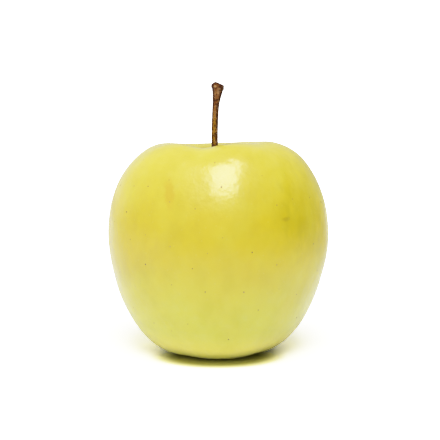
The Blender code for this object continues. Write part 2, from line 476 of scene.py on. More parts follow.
place, (x, y, z) = points_of(tree)
out = (x * x + y * y) ** 0.5
turn = y.math("ARCTAN2", x)
dents = (noise(tree, place, DENT_SIZE, detail=1.0, seed=3.0) - DENT_LEVEL) * size["Unevenness"]
in_cavity = z.ease(*CAVITY_WALL) * out.ease(*CAVITY_RADII) * out.ease(*STEM_FOOT)
crease_lines = round_the_axis(tree, turn, out * CREASE_CHANGE, CREASE_SPREAD)
creases = noise(tree, crease_lines, 1.0, detail=3.0, seed=8.0)
in_basin = z.ease(*BASIN_WALL) * out.ease(*BASIN_RADII)
pleat_lines = round_the_axis(tree, turn, out * PLEAT_CHANGE, PLEAT_SPREAD)
pleats = noise(tree, pleat_lines, 1.0, detail=2.0, seed=5.0)
depth = dents + creases * in_cavity * size["Rim creases"] + pleats * in_basin * size["Basin pleats"]
form = pushed(tree, form, depth)

_, (x, y, z) = points_of(tree)
form = moved(tree, form, in_metres(tree, x, y, z.above(0.0)))
end_tree(tree, entry, form)

skin_finish = bpy.data.materials.new("apple skin")
fruit_skin = run_tree("fruit_skin", fruit_outline, tree, skin_finish)


def outward_share(piece):
    """The share of the piece's surface that faces away from its middle."""
    middle = sum((v.co for v in piece.data.vertices), Vector()) / len(piece.data.vertices)
    faces = piece.data.polygons
    outwards = sum(f.area for f in faces if (f.center - middle).dot(f.normal) > 0.0)
    return outwards / sum(f.area for f in faces)


def distance_to_solid(piece, node, step=7):
    """The mean and the greatest distance in millimetres from the piece's points to the solid."""
    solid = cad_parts[node].data
    surface = BVHTree.FromPolygons(
        [v.co for v in solid.vertices], [tuple(f.vertices) for f in solid.polygons]
    )
    away = [surface.find_nearest(v.co)[3] / MM for v in list(piece.data.vertices)[::step]]
    return sum(away) / len(away), max(away)


print("fruit_skin faces outwards:", round(outward_share(fruit_skin), 3))
print("fruit_skin to the solid, mean and most, mm:", distance_to_solid(fruit_skin, "fruit"))

# %% [markdown]
# ## The skin's finish
#
# Yellow skin isn't one colour. It is warm round its middle, paler on the shoulder, greener towards
# the base, and faintly mottled all over. Near the base it is painted paler and brighter: painted
# light that stands in for light from the table. Its lowest rim and the upper wall inside the stem's
# hollow are painted darker: painted shade. The hollow round the stem has rays of pale brown cork. A
# few blotches, two wide painted shades on the fruit's left and right sides, and dark lines of
# painted shade where the front rim turns over into the hollow have places of their own, so two lists
# hold them, and each is a tint that the colour is multiplied by. The wax makes a broad soft
# highlight, whose edge wavers because the surface is never quite even: a coat with its own roughness
# gives that, and the skin's relief bumps the coat too.
#
# The colours are given as they look on a screen, 0 to 255, and turned into the linear values that
# the shader wants.

# %% Colours and places for a finish
def screen(red, green, blue):
    """A colour as a screen shows it, as linear values."""
    linear = [
        c / 255.0 / 12.92 if c <= 10 else ((c / 255.0 + 0.055) / 1.055) ** 2.4 for c in (red, green, blue)
    ]
    return (*linear, 1.0)


def blend(tree, share, first, second):
    """The first colour where the share is 0 and the second where it is 1."""
    mix = add_node(tree, "ShaderNodeMix", {"data_type": "RGBA"})
    wire(tree, share, mix.inputs[0])
    wire(tree, first, mix.inputs[6])
    wire(tree, second, mix.inputs[7])
    return mix.outputs[2]


def tinted(tree, share, colour, tint):
    """The colour where the share is 0, and the colour times the tint where it is 1."""
    product = add_node(tree, "ShaderNodeVectorMath", {"operation": "MULTIPLY"})
    wire(tree, colour, product.inputs[0])
    wire(tree, tint, product.inputs[1])
    return blend(tree, share, colour, product.outputs[0])


def start_finish(finish):
    """The finish's tree and shader, and the place on the piece in millimetres."""
    finish.use_nodes = True
    tree = finish.node_tree
    place = add_node(tree, "ShaderNodeTexCoord").outputs["Object"]
    scaled = add_node(tree, "ShaderNodeVectorMath", {"operation": "SCALE"}, Vector=place, Scale=1.0 / MM)
    return tree, tree.nodes["Principled BSDF"], scaled.outputs[0]


def relief(tree, shader, height, layers=("Normal",)):
    """Bump the shader's layers by a height in millimetres. A coat is a layer of its own."""
    bump = add_node(tree, "ShaderNodeBump", Height=height, Distance=MM)
    for layer in layers:
        wire(tree, bump.outputs[0], shader.inputs[layer])


# %% Choose the skin's colours and where they change
SKIN_YELLOW = screen(221, 203, 12)
SKIN_SHOULDER = screen(226, 212, 66)
SKIN_GREENISH = screen(222, 218, 67)
# Painted light: the skin paler and brighter near the base, standing in for light from the table.
SKIN_BASE_PAINTED_LIGHT = screen(244, 234, 100)
SKIN_PALE = screen(226, 216, 104)
DEEPER = (0.93, 0.93, 0.5)
MILKIER = (1.0, 1.01, 1.4)
# Painted shade: the fruit's lowest rim darker, with much less blue, where it meets the table.
UNDERSIDE_SHADE = (0.72, 0.76, 0.35)
# Painted shade: the upper wall inside the stem's hollow darker and less yellow.
LIP_SHADE = (0.78, 0.82, 0.95)
TintPatch = namedtuple("TintPatch", "x z half_width half_height tint")
BLOTCHES_AND_SIDE_SHADES = (
    # Painted shade: a wide, darker and slightly bluer tint over the fruit's left middle.
    TintPatch(-31.0, 42.0, 13.0, 22.0, (0.96, 0.94, 1.12)),
    # Painted shade: the fruit's right side darker, where less light falls.
    TintPatch(28.0, 52.0, 9.0, 17.0, (0.91, 0.92, 0.95)),
    # Small blotches on the skin.
    TintPatch(-15.5, 58.0, 1.8, 5.6, (0.96, 0.88, 0.45)),
    TintPatch(22.5, 59.0, 2.2, 8.0, (0.96, 0.95, 0.5)),
    TintPatch(27.5, 50.0, 2.2, 7.0, (0.97, 0.96, 0.7)),
    TintPatch(21.7, 49.4, 1.3, 0.7, (0.86, 0.82, 0.35)),
    TintPatch(-22.5, 30.5, 3.0, 4.5, (0.96, 0.96, 0.6)),
    TintPatch(-12.5, 46.0, 2.4, 3.0, (0.97, 0.97, 0.6)),
)
# Painted shade: dark lines where the front rim turns over into the stem's hollow.
ShadeLine = namedtuple("ShadeLine", "x y end_x end_y reach tint")
RIM_SHADE_LINES = (
    ShadeLine(-12.5, -12.9, -8.0, -14.5, 0.8, (0.80, 0.68, 0.4)),
    ShadeLine(-5.4, -16.2, -2.4, -17.4, 0.9, (0.72, 0.72, 0.35)),
    ShadeLine(0.6, -16.9, 6.6, -16.0, 0.9, (0.62, 0.60, 0.3)),
    ShadeLine(2.6, -17.2, 3.8, -17.0, 1.5, (0.55, 0.50, 0.25)),
)
SKIN_CORK = screen(168, 136, 70)

SHOULDER_HEIGHTS = (46.0, 66.0)
GREENISH_HEIGHTS = (42.0, 10.0)
BASE_LIGHT_HEIGHTS = (12.0, 3.0)
UNDERSIDE_SHADE_HEIGHTS = (5.0, 0.5)
FRONT_SIDE = (0.0, -10.0)
TINT_PATCH_EDGE = (1.3, 0.2)
LIP_SHADE_HEIGHTS = (70.4, 67.5)
LIP_SHADE_RADII = (18.0, 13.0)
RIM_HEIGHTS = (66.0, 68.0)
CORK_HEIGHTS = (56.0, 66.0)
CORK_RADII = (16.0, 4.0)
CORK_MIDDLE = (9.0, 2.0)
BASIN_CORK_HEIGHTS = (12.0, 6.0)
BASIN_CORK_RADII = (9.0, 3.5)
TALL_PATCHES = (1.0, 1.0, 0.55)
SPOTS_PER_MM = 0.45
SPOT_EDGE = (0.16, 0.07)

SKIN_ROUGHNESS = 0.45
SKIN_IOR = 1.46
WAX_ROUGHNESS = 0.22
WAX_IOR = 1.55
WAVER_SIZE = 2.4
WAVER_HEIGHT = 0.16
GRAIN_SIZE = 0.35
GRAIN_HEIGHT = 0.006

# %% Mix the skin's colours
tree, shader, place = start_finish(skin_finish)
x, y, z = parts_of(tree, place)
out = (x * x + y * y) ** 0.5
turn = y.math("ARCTAN2", x)

patches = noise(tree, place, 12.0, detail=3.0, seed=1.0)
colour = blend(tree, z.ease(*SHOULDER_HEIGHTS) + patches, SKIN_YELLOW, SKIN_SHOULDER)
colour = blend(tree, z.ease(*GREENISH_HEIGHTS) + patches * 0.8, colour, SKIN_GREENISH)
# Painted light near the base: paler and brighter, standing in for light from the table.
colour = blend(tree, z.ease(*BASE_LIGHT_HEIGHTS), colour, SKIN_BASE_PAINTED_LIGHT)
tall = add_node(tree, "ShaderNodeMapping", Vector=place, Scale=TALL_PATCHES).outputs[0]
deep = noise(tree, tall, 5.5, detail=3.0, roughness=0.5, seed=2.0).ease(-0.12, 0.28)
colour = tinted(tree, deep * 0.8, colour, DEEPER)
milky = noise(tree, place, 3.4, detail=3.0, roughness=0.5, seed=12.0).ease(-0.1, 0.3)
colour = tinted(tree, milky, colour, MILKIER)
# The skin's blotches, and the two wide painted shades on its left and right sides.
for tint_patch in BLOTCHES_AND_SIDE_SHADES:
    away = ((x - tint_patch.x) / tint_patch.half_width) ** 2.0 + ((z - tint_patch.z) / tint_patch.half_height) ** 2.0
    ragged = away ** 0.5 + noise(tree, tall, 2.6, detail=3.0, seed=14.0) * 1.8
    colour = tinted(tree, ragged.ease(*TINT_PATCH_EDGE) * y.ease(*FRONT_SIDE), colour, tint_patch.tint)
# Painted shade on the lowest rim of the fruit, where it meets the table.
colour = tinted(tree, z.ease(*UNDERSIDE_SHADE_HEIGHTS), colour, UNDERSIDE_SHADE)
# Painted shade on the upper wall inside the stem's hollow.
colour = tinted(tree, z.ease(*LIP_SHADE_HEIGHTS) * out.ease(*LIP_SHADE_RADII), colour, LIP_SHADE)
# Painted shade lines along the front rim, where it turns over into the hollow.
for shade_line in RIM_SHADE_LINES:
    run_x, run_y = shade_line.end_x - shade_line.x, shade_line.end_y - shade_line.y
    share = ((x - shade_line.x) * run_x + (y - shade_line.y) * run_y) / (run_x ** 2 + run_y ** 2)
    share = share.above(0.0).below(1.0)
    away = ((x - shade_line.x - share * run_x) ** 2.0 + (y - shade_line.y - share * run_y) ** 2.0) ** 0.5
    ragged = away + noise(tree, place, 1.3, detail=3.0, seed=16.0) * 2.2
    colour = tinted(tree, ragged.ease(shade_line.reach, 0.0) * z.ease(*RIM_HEIGHTS), colour, shade_line.tint)
spots = add_node(tree, "ShaderNodeTexVoronoi", Vector=place, Scale=SPOTS_PER_MM, Randomness=1.0)
fleck = Number(tree, spots.outputs["Distance"]).ease(*SPOT_EDGE)
colour = blend(tree, fleck * 0.18, colour, SKIN_PALE)
ray_lines = round_the_axis(tree, turn, z * 0.03, 6.0)
streaks = noise(tree, ray_lines, 1.0, detail=4.0, roughness=0.65, seed=4.0)
in_cavity = z.ease(*CORK_HEIGHTS) * out.ease(*CORK_RADII)
cork = ((streaks + 0.08).ease(0.0, 0.25) * in_cavity + in_cavity * out.ease(*CORK_MIDDLE)).below(1.0)
colour = blend(tree, cork * 0.8, colour, SKIN_CORK)
in_basin = z.ease(*BASIN_CORK_HEIGHTS) * out.ease(*BASIN_CORK_RADII)
colour = blend(tree, in_basin * (streaks + 0.55), colour, SKIN_CORK)
wire(tree, colour, shader.inputs["Base Color"])

uneven = noise(tree, place, WAVER_SIZE, detail=2.0, seed=6.0) * WAVER_HEIGHT
grain = noise(tree, place, GRAIN_SIZE, detail=3.0, roughness=0.6, seed=7.0) * GRAIN_HEIGHT
relief(tree, shader, uneven + grain, ("Normal", "Coat Normal"))
gloss = noise(tree, place, 5.0, detail=3.0, seed=9.0) * 0.10 + SKIN_ROUGHNESS + cork * 0.25
wire(tree, gloss, shader.inputs["Roughness"])
shader.inputs["IOR"].default_value = SKIN_IOR
shader.inputs["Diffuse Roughness"].default_value = 1.0
shader.inputs["Coat Weight"].default_value = 1.0
shader.inputs["Coat Roughness"].default_value = WAX_ROUGHNESS
shader.inputs["Coat IOR"].default_value = WAX_IOR

# %% [markdown]
# ## Pores
#
# The skin breathes through pores, and on a ripe fruit some of them have closed with dark cork. They
# are dots less than half a millimetre wide, some of them longer than wide, and they stand out by a
# few hundredths. They could be painted, but as small domes they catch the light and cast the tiny
# shade that the eye expects.
# Geometry Nodes scatter them so that no two are close, and a dome needs only a few faces.

# %% Scatter the pores over the skin
PORE_SIZES = {
    "Least distance": 6.5,
    "Density": 14000.0,
    "Smallest": 0.10,
    "Largest": 0.24,
    "Flatness": 0.3,
    "Seed": 11,
}
PORES_FROM = (3.0, 9.0)
PORES_TO = (71.0, 66.0)
PORE_RADII_SQUARED = (100.0, 260.0)
PORE_STRETCH = (1.0, 1.7)
DOME_SEGMENTS = 8
DOME_RINGS = 5
DOME_POINTS = DOME_SEGMENTS * (DOME_RINGS - 1) + 2


def random_between(tree, low, high, seed):
    """A random number for each point."""
    draw = add_node(tree, "FunctionNodeRandomValue", {"data_type": "FLOAT"}, Seed=seed)
    wire(tree, low, draw.inputs[2])
    wire(tree, high, draw.inputs[3])
    return Number(tree, draw.outputs[1])


tree, entry, size = new_tree("pores", PORE_SIZES)
_, (x, y, z) = points_of(tree)
on_the_side = z.ease(*PORES_FROM) * z.ease(*PORES_TO) * (x * x + y * y).ease(*PORE_RADII_SQUARED)
scatter = add_node(
    tree, "GeometryNodeDistributePointsOnFaces", {"distribute_method": "POISSON"},
    Mesh=entry.outputs["Geometry"], Distance_Min=size["Least distance"] * MM,
    Density_Max=size["Density"], Density_Factor=on_the_side, Seed=size["Seed"],
)
dome = add_node(
    tree, "GeometryNodeMeshUVSphere", Segments=DOME_SEGMENTS, Rings=DOME_RINGS, Radius=MM
)
wide = random_between(tree, size["Smallest"], size["Largest"], size["Seed"] + 1.0)
long = wide * random_between(tree, *PORE_STRETCH, size["Seed"] + 2.0)
dots = add_node(
    tree, "GeometryNodeInstanceOnPoints", Points=scatter.outputs["Points"], Instance=dome.outputs["Mesh"],
    Rotation=scatter.outputs["Rotation"], Scale=vector_of(tree, wide, long, wide * size["Flatness"]),
)
end_tree(tree, entry, dots.outputs[0])

PORE_BROWN = screen(118, 88, 34)
PORE_PALE = screen(186, 160, 70)
pore_finish = bpy.data.materials.new("cork of the pores")
carrier = add_object("pore_carrier", fruit_skin.data)
skin_pores = run_tree("skin_pores", carrier, tree, pore_finish)
print("pores:", len(skin_pores.data.vertices) // DOME_POINTS)

tree, shader, place = start_finish(pore_finish)
paler = noise(tree, place, 9.0, detail=0.0, seed=1.0).ease(-0.1, 0.15)
colour = blend(tree, paler, PORE_BROWN, PORE_PALE)
wire(tree, colour, shader.inputs["Base Color"])
wire(tree, noise(tree, place, 0.2, seed=2.0) * 0.2 + 0.6, shader.inputs["Roughness"])
relief(tree, shader, noise(tree, place, 0.12, seed=3.0) * 0.02)

# %% [markdown]
# ## The stem
#
# The stem is a thin twig of wood that swells at its top, where it broke off the branch. It is drawn
# as one path with a ring of points round each place on it. The rings lie flat, because the stem
# stands almost upright, and that lets a rule speak of its left and right. Long ridges of bark,
# small warts, the bud at the top left and the slanting break are all changes of the ring's radius
# or height.

# %% Draw the stem's path
Bend = namedtuple("Bend", "x y z")
STEM_TOP = 92.75
STEM_BENDS = (
    Bend(-0.96, 0.0, 54.8),
    Bend(-1.1, 0.0, 57.3),
    Bend(-1.05, 0.1, 66.0),
    Bend(-1.0, 0.1, 74.0),
    Bend(-0.86, 0.0, 80.4),
    Bend(-0.4, -0.2, 86.6),
    Bend(-0.05, -0.4, 88.9),
    Bend(0.15, -0.5, STEM_TOP),
)
STEM_STEPS = 20

stem_places = [Vector(bend) + Vector(SOLID_SHIFT) for bend in STEM_BENDS]
stem_path = bezier_curve("stem_path", stem_places, STEM_STEPS)

# %% Put rings of bark round the path
STEM_SIZES = {
    "Turns": 80,
    "Rows": 300,
    "Radius": 1.09,
    "Knob radius": 1.97,
    "Swells from": 80.5,
    "Knob at": 91.8,
    "Break share": 0.95,
    "Crest": -0.95,
    "Slope right of crest": 0.235,
    "Slope left of crest": 0.36,
    "Break depth": 0.25,
    "Bud": 0.3,
    "Bud height": 92.0,
    "Ridges": 0.5,
    "Warts": 0.28,
}
SWELL_POWER = 1.9
RIDGE_CHANGE = 0.16
WART_CHANGE = 0.9
BUD_ANGLE = math.pi * 1.02
BUD_HALF_ANGLE = 0.8
BUD_REACH = 1.8
BREAK_HEIGHTS = (88.5, 91.6)
CREST_SOFTNESS = 0.12

tree, entry, size = new_tree("stem form", STEM_SIZES)
grid, angle, share = rolled_grid(tree, size["Turns"], size["Rows"])
upwards = share / size["Break share"]
centre_x, centre_y, height = along_curve(tree, entry.outputs["Geometry"], upwards.below(1.0))
swelling = height.ease(size["Swells from"], size["Knob at"]) ** SWELL_POWER
radius = size["Radius"] + (size["Knob radius"] - size["Radius"]) * swelling
ridge_lines = round_the_axis(tree, angle, height * RIDGE_CHANGE, 1.5)
ridges = noise(tree, ridge_lines, 1.0, detail=4.0, roughness=0.6, seed=2.0)
wart_places = round_the_axis(tree, angle, height * WART_CHANGE, 1.0)
warts = noise(tree, wart_places, 0.7, detail=3.0, seed=4.0)
bark = ridges * size["Ridges"] + warts * size["Warts"]
bud = (angle - BUD_ANGLE).size().ease(BUD_HALF_ANGLE, 0.0) * height.near(size["Bud height"], BUD_REACH)
rim = radius * (bark * 0.55 + 1.0) + bud * size["Bud"]
closing = (share - size["Break share"]) / (1.0 - size["Break share"])
closing.socket.node.use_clamp = True
ring = rim * (1.0 - closing)
x = ring * angle.cos()
y = ring * angle.sin()
near_break = height.ease(*BREAK_HEIGHTS)
beside = x - size["Crest"]
apart = (beside * beside + CREST_SOFTNESS) ** 0.5
roof = (apart + beside) * size["Slope right of crest"] + (apart - beside) * size["Slope left of crest"]
torn = noise(tree, vector_of(tree, x, y, 0.0), 0.9, detail=3.0, seed=6.0) * 0.12 + 0.04
drop = near_break * (roof + closing.ease(0.0, 0.35) * size["Break depth"] + torn)
form = moved(tree, grid, in_metres(tree, centre_x + x, centre_y + y, height - drop))
form = welded(tree, form)
keep = add_node(
    tree, "GeometryNodeStoreNamedAttribute", {"data_type": "FLOAT", "domain": "POINT"},
    Geometry=form, Name="bark_height", Value=bark,
)
end_tree(tree, entry, keep.outputs[0])

bark_finish = bpy.data.materials.new("stem bark")
stem_bark = run_tree("stem_bark", stem_path, tree, bark_finish)
print("stem_bark faces outwards:", round(outward_share(stem_bark), 3))
print("stem_bark to the solid, mean and most, mm:", distance_to_solid(stem_bark, "stem"))

# %% [markdown]
# ## The bark's finish
#
# Low down the stem is golden brown between dark furrows, higher up it turns reddish and grey, and
# the knob is darker, most of all along its break, but for a pale scar. Pale flecks and dark specks
# break up all of it. The bark's own height, which the shape tree stored on each point, darkens the
# cracks and leaves the ridges pale.

# %% Mix the bark's colours
BARK_GOLD = screen(164, 116, 22)
BARK_RED = screen(142, 84, 28)
BARK_GREY = screen(178, 140, 106)
BARK_FLECK = screen(206, 160, 104)
BARK_DARK = screen(60, 18, 1)
SCAR_TAN = screen(190, 148, 96)

LONG_GRAIN = (1.0, 1.0, 0.22)
REDDER_ABOVE = (77.0, 86.0)
REDDER_BELOW = (72.0, 69.0)
GREY_FROM = (79.0, 84.0)
GREY_TO = (91.0, 89.0)
STEM_LEAN = 1.15
LEAN_HEIGHTS = (80.0, 89.5)
STEM_STREAK = math.radians(-103.0)
FURROWS = 3
KNOB_HEIGHTS = (88.5, 91.0)
SCAR_AT = Vector((-1.05, -2.0, 90.8))
SCAR_FLATNESS = 1.4
BREAK_CREST = -1.05
BREAK_SLOPE = STEM_SIZES["Slope right of crest"]
BREAK_EDGE = (91.55, 92.05)

tree, shader, place = start_finish(bark_finish)
x, y, z = parts_of(tree, place)
stored = add_node(tree, "ShaderNodeAttribute", {"attribute_name": "bark_height"})
bark_height = Number(tree, stored.outputs["Fac"])
grain_place = add_node(tree, "ShaderNodeMapping", Vector=place, Scale=LONG_GRAIN).outputs[0]
streak = noise(tree, grain_place, 0.7, detail=5.0, roughness=0.65, seed=1.0)
redder = z.ease(*REDDER_ABOVE) + z.ease(*REDDER_BELOW) * 0.5 + streak * 0.7
colour = blend(tree, redder, BARK_GOLD, BARK_RED)
grey = noise(tree, grain_place, 0.9, detail=3.0, seed=3.0).ease(-0.12, 0.15)
grey *= z.ease(*GREY_FROM) * z.ease(*GREY_TO)
colour = blend(tree, grey * 0.75, colour, BARK_GREY)
middle_x = z.ease(*LEAN_HEIGHTS) * STEM_LEAN - STEM_LEAN
turn = y.math("ARCTAN2", x - middle_x)
furrow = ((turn - STEM_STREAK) * FURROWS).cos() * -0.5 + 0.5
furrow = (furrow + noise(tree, grain_place, 1.1, detail=3.0, seed=6.0) * 1.2).ease(0.22, 0.72)
colour = blend(tree, furrow * 0.85, colour, BARK_DARK)
flecks = noise(tree, place, 0.85, detail=2.0, roughness=0.6, seed=15.0).ease(0.02, 0.14)
colour = blend(tree, flecks * 0.5, colour, BARK_FLECK)
speckle = noise(tree, place, 0.8, detail=2.0, roughness=0.6, seed=5.0).ease(-0.01, 0.12)
colour = blend(tree, speckle * 0.8, colour, BARK_DARK)
crack = bark_height.ease(0.02, -0.16)
colour = blend(tree, crack * 0.8, colour, BARK_DARK)
knob = z.ease(*KNOB_HEIGHTS) * (streak + 0.5)
colour = blend(tree, knob, colour, BARK_DARK)
below_break = z + (x.above(BREAK_CREST) - BREAK_CREST) * BREAK_SLOPE
colour = blend(tree, below_break.ease(*BREAK_EDGE) * 0.85, colour, BARK_DARK)
scar = (x - SCAR_AT.x) ** 2.0 + (y - SCAR_AT.y) ** 2.0 + (z - SCAR_AT.z) ** 2.0 * SCAR_FLATNESS
colour = blend(tree, (scar ** 0.5 + streak).ease(0.7, 0.25) * 0.9, colour, SCAR_TAN)
wire(tree, colour, shader.inputs["Base Color"])
wire(tree, streak * 0.4 + 0.7, shader.inputs["Roughness"])
shader.inputs["Specular IOR Level"].default_value = 0.2
relief(tree, shader, streak * 0.10 + noise(tree, place, 0.25, detail=3.0, seed=7.0) * 0.05)

# %% [markdown]
# ## The calyx
#
# Underneath, in the middle of the basin, sit the dry remains of the flower: a woody cup, five
# sepals that close over it and curl back at their tips, and a tuft of withered threads. The part's
# solid has the cup and the sepals. One sepal is a flat tube of points along its mid-line, drawn as a
# curve with two knots, and Geometry Nodes puts five of them round the cup. Noise that is laid on
# after that bends each of the five in its own way.

# %% Draw a sepal and put five round the cup
SEPAL_LINE = (
    Vector((2.5, 0.0, 0.0)), Vector((1.5, 0.0, -1.9)), Vector((0.5, 0.0, -3.4)), Vector((3.3, 0.0, -4.7)),
)
SEPAL_SIZES = {
    "Turns": 22,
    "Rows": 44,
    "Sepals": LOBES,
    "Bump angle": math.radians(-80.0),
    "Turn": math.radians(7.0),
    "Tilt": math.radians(5.0),
    "Width": 2.7,
    "Tip width": 0.35,
    "Cup": 0.5,
    "Thickness": 0.42,
    "Curl": 0.9,
    "Wrinkles": 0.35,
}
VEIN_WIDTH = 0.18
VEIN_HEIGHT = 0.10
CURL_HEIGHTS = (-0.8, -3.5)

start, over, close, tip = SEPAL_LINE
sepal_line = bezier_curve("sepal_line", (start, tip), OUTLINE_STEPS, ((start, over), (close, tip)))

tree, entry, size = new_tree("sepals", SEPAL_SIZES)
grid, angle, share = rolled_grid(tree, size["Turns"], size["Rows"])
sample = add_node(
    tree, "GeometryNodeSampleCurve", {"mode": "FACTOR"}, Curves=entry.outputs["Geometry"], Factor=share
)
out, _, down = parts_of(tree, sample.outputs["Position"])
tangent_out, _, tangent_down = parts_of(tree, sample.outputs["Tangent"])
left = 1.0 - share
across = angle.cos()
ends = share.ease(1.0, 0.90) * share.ease(0.0, 0.03)
half_width = (size["Width"] * left ** 0.7 + size["Tip width"]) * 0.5 * ends
lift = angle.sin() * size["Thickness"] * 0.5 * ends * (1.0 - across.size() ** 2.0 * 0.6)
vein = across.near(0.0, VEIN_WIDTH) * VEIN_HEIGHT
out = out - size["Cup"] * across ** 2.0 * left - tangent_down * (lift + vein)
sepal = moved(tree, grid, vector_of(tree, out, across * half_width, down + tangent_out * (lift + vein)))
number = Number(tree, add_node(tree, "GeometryNodeInputIndex").outputs[0])
points = add_node(tree, "GeometryNodePoints", Count=size["Sepals"])
turn = size["Bump angle"] + (number + 0.5) * math.tau / LOBES + size["Turn"] * (number * 2.4).sin()
ring = add_node(
    tree, "GeometryNodeInstanceOnPoints", Points=points.outputs[0], Instance=welded(tree, sepal),
    Rotation=vector_of(tree, 0.0, size["Tilt"] * (number * 3.7).cos(), turn),
)
real = add_node(tree, "GeometryNodeRealizeInstances", Geometry=ring.outputs[0]).outputs[0]
position = add_node(tree, "GeometryNodeInputPosition").outputs[0]
x, y, z = parts_of(tree, position)
bend = noise(tree, position, 3.2, detail=1.0, seed=1.0) * size["Curl"] * z.ease(*CURL_HEIGHTS)
bend_more = noise(tree, position, 3.0, detail=1.0, seed=2.0) * size["Curl"] * z.ease(*CURL_HEIGHTS)
form = moved(tree, real, in_metres(
    tree, x + bend + shift_x, y + bend_more + shift_y, z + (BASIN_DEPTH + shift_z)
))
place, _ = points_of(tree)
wrinkles = noise(tree, place, 0.8, detail=3.0, roughness=0.6, seed=3.0) * size["Wrinkles"]
end_tree(tree, entry, pushed(tree, form, wrinkles))

husk_finish = bpy.data.materials.new("dry husk")
calyx_sepals = run_tree("calyx_sepals", sepal_line, tree, husk_finish)
print("calyx_sepals to the solid, mean and most, mm:", distance_to_solid(calyx_sepals, "calyx"))

# %% Turn the woody cup
cup_outline = outline_curve("cup_outline", (
    Knot(0.0, 9.7, 0, 0.0, 0.6),
    Knot(1.7, 8.9, -40, 0.5, 0.6),
    Knot(2.45, 7.45, 0, 0.5, 0.3),
    Knot(2.95, 8.3, 80, 0.5, 0.8),
    Knot(3.3, 10.1, 60, 0.5, 0.5),
    Knot(0.0, 10.3, 180, 1.0, 0.0),
))
tree, entry, size = new_tree("cup", {"Turns": 90, "Rows": 60, "Folds": 0.6})
grid, angle, share = rolled_grid(tree, size["Turns"], size["Rows"])
radius, _, height = along_curve(tree, entry.outputs["Geometry"], share)
folds = noise(tree, round_the_axis(tree, angle, height * 0.2, 2.4), 1.0, detail=3.0, seed=3.0)
folds *= size["Folds"]
radius = radius + folds * radius.ease(0.5, 2.0)
form = moved(tree, grid, in_metres(
    tree, radius * angle.cos() + shift_x, radius * angle.sin() + shift_y, height + shift_z
))
end_tree(tree, entry, welded(tree, form))
calyx_cup = run_tree("calyx_cup", cup_outline, tree, husk_finish)
print("calyx_cup faces outwards:", round(outward_share(calyx_cup), 3))

# %% Stand the withered threads in the cup
THREAD_SIZES = {"Threads": 15, "Ring": 1.15, "Length": 2.5, "Thickness": 0.10, "Lean": 0.55, "Seed": 4}
THREAD_TURNS = 8
THREAD_ROWS = 16
THREADS_FROM = 9.4
THREAD_SAG = 0.8
ANTHER_AT = 0.93
ANTHER_REACH = 0.07
ANTHER_GIRTH = 1.6
GOLDEN_TURN = 2.4

carrier = add_object("threads_carrier", bpy.data.meshes.new("threads_carrier"))
tree, entry, size = new_tree("threads", THREAD_SIZES)
grid, angle, share = rolled_grid(tree, THREAD_TURNS, THREAD_ROWS)
anther = share.near(ANTHER_AT, ANTHER_REACH) * ANTHER_GIRTH
girth = size["Thickness"] * (anther + 1.0 - share * 0.3) * share.ease(1.0, 0.97)
sag = share * share * THREAD_SAG
thread = moved(tree, grid, vector_of(
    tree, girth * angle.cos() + sag, girth * angle.sin(), share * size["Length"] * -1.0
))
points = add_node(tree, "GeometryNodePoints", Count=size["Threads"])
number = Number(tree, add_node(tree, "GeometryNodeInputIndex").outputs[0])
turn = number * GOLDEN_TURN
reach = size["Ring"] * (number / size["Threads"]) ** 0.5
spread = moved(tree, points.outputs[0], vector_of(tree, reach * turn.cos(), reach * turn.sin(), 0.0))
lean = random_between(tree, size["Lean"] * -0.6, size["Lean"], size["Seed"])
grown = add_node(
    tree, "GeometryNodeInstanceOnPoints", Points=spread, Instance=welded(tree, thread),
    Rotation=vector_of(tree, 0.0, lean, random_between(tree, 0.0, math.tau, size["Seed"] + 1.0)),
    Scale=vector_of(tree, 1.0, 1.0, random_between(tree, 0.7, 1.1, size["Seed"] + 2.0)),
)
real = add_node(tree, "GeometryNodeRealizeInstances", Geometry=grown.outputs[0]).outputs[0]
x, y, z = parts_of(tree, add_node(tree, "GeometryNodeInputPosition").outputs[0])
form = moved(tree, real, in_metres(tree, x + shift_x, y + shift_y, z + (THREADS_FROM + shift_z)))
end_tree(tree, entry, form)
thread_finish = bpy.data.materials.new("dry threads")
calyx_threads = run_tree("calyx_threads", carrier, tree, thread_finish)

# %% [markdown]
# ## The husk's finish
#
# Dry sepals are dull, brown at the root and nearly straw at their curled tips, with fine veins. The
# threads in the cup are darker.

# %% Mix the husk's colours
HUSK_BROWN = screen(96, 66, 34)
HUSK_STRAW = screen(168, 140, 88)
HUSK_DARK = screen(48, 32, 18)


def husk(finish, root, tip, darkest):
    """Colour a dry piece from its root to its tip, with dark veins and a fine relief."""
    tree, shader, place = start_finish(finish)
    _, _, z = parts_of(tree, place)
    drier = z.ease(7.6, 4.4) + noise(tree, place, 0.9, detail=4.0, seed=1.0)
    colour = blend(tree, drier, root, tip)
    dark = noise(tree, place, 0.5, detail=4.0, roughness=0.65, seed=2.0).ease(0.0, 0.22)
    colour = blend(tree, dark * 0.7, colour, darkest)
    wire(tree, colour, shader.inputs["Base Color"])
    wire(tree, noise(tree, place, 0.4, seed=3.0) * 0.2 + 0.85, shader.inputs["Roughness"])
    relief(tree, shader, noise(tree, place, 0.18, detail=3.0, seed=4.0) * 0.05)


husk(husk_finish, HUSK_BROWN, HUSK_STRAW, HUSK_DARK)
husk(thread_finish, HUSK_DARK, HUSK_BROWN, HUSK_DARK)

# %% [markdown]
# ## The light and the table
#
# The fruit stands on a white table in a white room, under one large square softbox whose middle is
# brighter than its border: two lamps, one over the other. It makes the square highlight and the
# soft shade under the fruit, and the table throws light up against the lower half. A third lamp
# lights the far side, so that the fruit is as yellow from behind, and the skin doesn't mirror it.
# The room gives each side its own share, with a brighter band low behind the fruit on its left,
# which whitens the edges of the skin. For the camera itself the room and the far table stay pure
# white. Where the fruit stands, a soft oval of painted shade on the table, seen only by the camera,
# darkens the shade and tinges it yellow, as light that has passed the yellow skin would.

